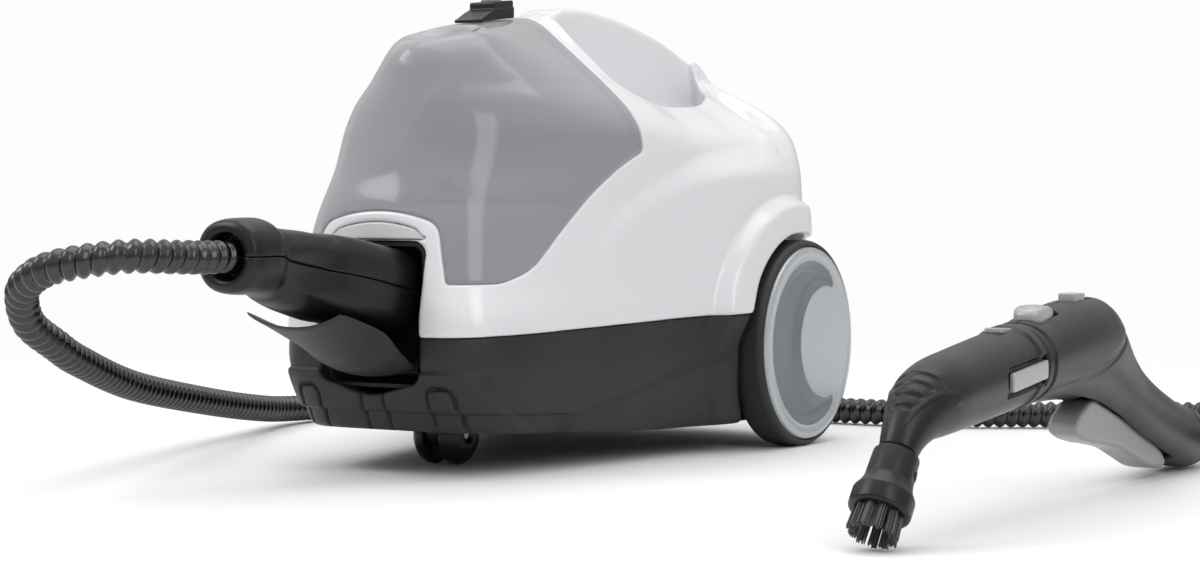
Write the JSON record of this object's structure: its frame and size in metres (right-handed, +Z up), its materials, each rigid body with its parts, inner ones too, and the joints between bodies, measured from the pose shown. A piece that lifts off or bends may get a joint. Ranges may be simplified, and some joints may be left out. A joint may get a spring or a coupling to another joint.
{
  "type": "canister steam cleaner",
  "caption": "Wheeled canister steam cleaner with lift-off water tank, boiler, front caster, steam plug, hose, and hand gun with spot nozzle and round brush.",
  "frame": {"origin": "on the flat underside of the base, in the symmetry plane straight below the rear axle; the floor the wheels stand on is 16 mm lower", "axes": "+Z up, -Y the machine's front with the steam socket, +X the machine's left side, where the gun lies"},
  "size_m": [0.6934, 0.7264, 0.2634],
  "materials": {
    "white_shell": "gloss",
    "charcoal_base": "fine grain",
    "black_plastic": "satin, fine grain",
    "grey_plastic": "satin",
    "tank_smoke": "smoked clear plastic",
    "silver_cap": "satin silver",
    "tyre": "matt",
    "hose_black": "gloss",
    "steel": "satin",
    "brass": "machined",
    "board_green": "gloss",
    "tube_clear": "satin"
  },
  "bodies": {
    "machine": {"upper_housing": "white_shell", "base_pan": "charcoal_base", "socket_recess": "black_plastic", "steam_socket": "steel", "indicator_window": "grey_plastic", "indicator_board": "board_green", "flap_pin": "steel", "boiler_upper": "steel", "boiler_lower": "steel", "heating_element": "steel", "safety_valve": "brass", "boiler_thermostat": "grey_plastic", "solenoid_valve": "black_plastic", "water_pump": "grey_plastic", "pump_mount": "black_plastic", "control_board": "board_green", "tank_dock_valve": "black_plastic", "suction_hose": "tube_clear", "feed_hose": "tube_clear", "steam_pipe": "steel", "cable_tray": "charcoal_base", "mains_cable": "hose_black", "mains_plug": "black_plastic", "cable_gland": "black_plastic", "axle_left": "steel", "axle_right": "steel"},
    "wheel_left": {"tyre_left": "tyre", "rim_left": "black_plastic", "wheel_cap_left": "silver_cap"},
    "wheel_right": {"tyre_right": "tyre", "rim_right": "black_plastic", "wheel_cap_right": "silver_cap"},
    "caster": {"caster_fork": "black_plastic", "caster_axle": "steel"},
    "caster_wheel_l": {"caster_wheel_left": "black_plastic"},
    "caster_wheel_r": {"caster_wheel_right": "black_plastic"},
    "flap": {"socket_flap": "charcoal_base"},
    "cable_door": {"cable_cover": "white_shell"},
    "tank": {"tank_shell": "tank_smoke", "tank_floor": "tank_smoke", "tank_valve": "black_plastic", "tank_vent_pipe": "tank_smoke", "tank_grip": "black_plastic"},
    "latch_button": {"tank_latch_button": "grey_plastic"},
    "steam_gun": {"plug_upper": "black_plastic", "plug_lower": "black_plastic", "plug_nozzle": "brass", "steam_hose": "hose_black", "gun_left": "black_plastic", "gun_right": "black_plastic"},
    "trigger": {"trigger": "grey_plastic"},
    "unlock_button": {"unlock_button": "grey_plastic"},
    "selector": {"steam_selector": "grey_plastic"},
    "nozzle": {"spot_nozzle": "black_plastic", "lock_bar_left": "grey_plastic", "lock_bar_right": "grey_plastic"},
    "brush": {"round_brush": "black_plastic"}
  },
  "joints": [
    {"name": "wheel_left_spin", "type": "hinge", "parent": "machine", "child": "wheel_left", "pos_m": [0.115, 0, 0.046], "axis": [1, 0, 0], "continuous": true},
    {"name": "wheel_right_spin", "type": "hinge", "parent": "machine", "child": "wheel_right", "pos_m": [-0.115, 0, 0.046], "axis": [1, 0, 0], "continuous": true},
    {"name": "caster_swivel", "type": "hinge", "parent": "machine", "child": "caster", "pos_m": [0, -0.212, 0.024], "axis": [0, 0, 1], "continuous": true},
    {"name": "caster_left_spin", "type": "hinge", "parent": "caster", "child": "caster_wheel_l", "pos_m": [0.0095, -0.204, 0.001], "axis": [1, 0, 0], "continuous": true},
    {"name": "caster_right_spin", "type": "hinge", "parent": "caster", "child": "caster_wheel_r", "pos_m": [-0.0095, -0.204, 0.001], "axis": [1, 0, 0], "continuous": true},
    {"name": "flap_hinge", "type": "hinge", "parent": "machine", "child": "flap", "pos_m": [0, -0.263, 0.0415], "axis": [-1, 0, 0], "range_deg": [-8, 1.5]},
    {"name": "cable_door_hinge", "type": "hinge", "parent": "machine", "child": "cable_door", "pos_m": [0, 0.087, 0.0764], "axis": [-1, 0, 0], "range_deg": [0, 80], "stiffness_Nm_per_rad": 0.3, "springref_deg": -28.65},
    {"name": "tank_lift", "type": "slide", "parent": "machine", "child": "tank", "axis": [0, 0, 1], "range_m": [0, 0.12]},
    {"name": "latch_press", "type": "slide", "parent": "tank", "child": "latch_button", "axis": [0, 0, -1], "range_m": [0, 0.002], "stiffness_N_per_m": 400, "springref_m": -0.001},
    {"name": "plug_pull", "type": "slide", "parent": "machine", "child": "steam_gun", "axis": [0, -0.9874, 0.1582], "range_m": [0, 0.03]},
    {"name": "trigger_pull", "type": "hinge", "parent": "steam_gun", "child": "trigger", "pos_m": [0.358, -0.062, -0.005], "axis": [-1, 0, 0], "range_deg": [0, 4.5], "stiffness_Nm_per_rad": 2, "springref_deg": -3.44},
    {"name": "unlock_press", "type": "slide", "parent": "steam_gun", "child": "unlock_button", "axis": [0, 0, -1], "range_m": [0, 0.003], "stiffness_N_per_m": 400, "springref_m": -0.001},
    {"name": "selector_slide", "type": "slide", "parent": "steam_gun", "child": "selector", "axis": [0, 1, 0], "range_m": [-0.0045, 0.0045]},
    {"name": "nozzle_pull", "type": "slide", "parent": "steam_gun", "child": "nozzle", "axis": [0, -1, 0], "range_m": [0, 0.02]},
    {"name": "brush_turn", "type": "hinge", "parent": "nozzle", "child": "brush", "pos_m": [0.358, -0.4095, -0.0078], "axis": [0, 0.6247, 0.7809], "range_deg": [-90, 90]}
  ]
}
